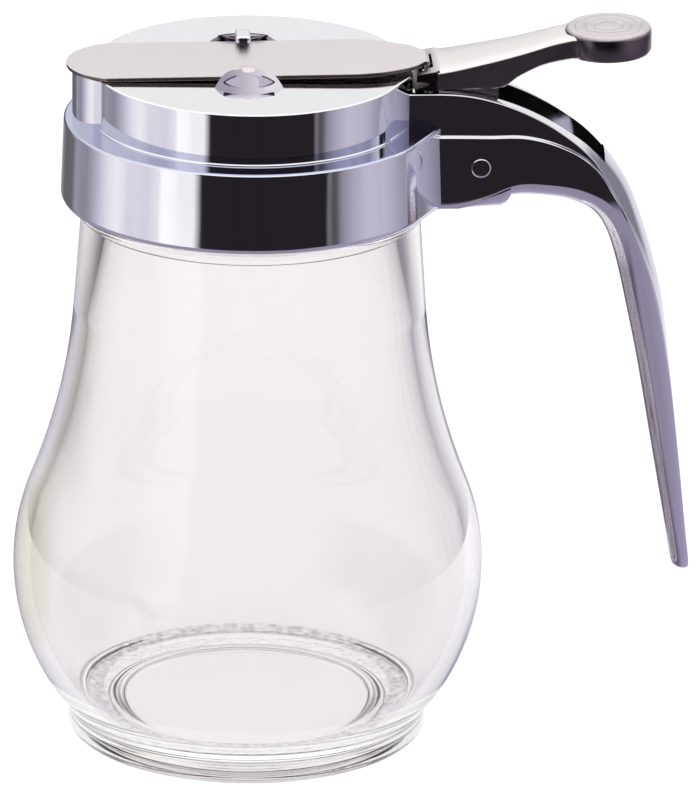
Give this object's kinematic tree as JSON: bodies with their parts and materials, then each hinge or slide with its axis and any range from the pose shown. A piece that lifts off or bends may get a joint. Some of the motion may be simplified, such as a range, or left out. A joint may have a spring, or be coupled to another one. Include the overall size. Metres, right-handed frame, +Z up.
{
  "type": "syrup dispenser",
  "caption": "Pear-shaped glass syrup dispenser with a screw-on chromed top, a curved handle, and a sliding pour gate drawn back by a thumb lever.",
  "frame": {"origin": "centre of the jar's foot, on the surface it stands on", "axes": "+Z up along the jar's axis; +X towards the handle; -X towards the pouring lobe"},
  "size_m": [0.104, 0.0722, 0.113],
  "materials": {
    "glass": "clear pressed glass",
    "chrome": "mirror chrome plate over a die casting",
    "gate_steel": "satin stainless sheet",
    "lever_metal": "dark satin nickel casting",
    "pin_steel": "ground steel",
    "spring_steel": "bright spring wire",
    "seal_rubber": "food-grade rubber, matte"
  },
  "bodies": {
    "jar": {"glass_jar": "glass"},
    "seal": {"neck_gasket": "seal_rubber"},
    "top": {"top_casting": "chrome", "pivot_pin": "pin_steel", "return_spring": "spring_steel"},
    "lever": {"thumb_lever": "lever_metal"},
    "gate": {"gate_plate": "gate_steel"}
  },
  "joints": [
    {"name": "top_lift", "type": "slide", "parent": "jar", "child": "seal", "axis": [0, 0, 1], "range_m": [0, 0.0064]},
    {"name": "top_turn", "type": "hinge", "parent": "seal", "child": "top", "pos_m": [0, 0, 0], "axis": [0, 0, 1], "range_deg": [0, 540]},
    {"name": "lever_pivot", "type": "hinge", "parent": "top", "child": "lever", "pos_m": [0.0347, 0, 0.0925], "axis": [0, 1, 0], "range_deg": [0, 25], "stiffness_Nm_per_rad": 0.12, "springref_deg": -20.05},
    {"name": "gate_draw", "type": "hinge", "parent": "top", "child": "gate", "pos_m": [-0.0246, 0, 0.542], "axis": [0, 1, 0], "range_deg": [-1, 0]}
  ],
  "couplings": [
    {"joint": "top_lift", "follows": "top_turn", "m_per_rad": 0.00066845},
    {"joint": "gate_draw", "follows": "lever_pivot", "ratio": -0.0335}
  ]
}
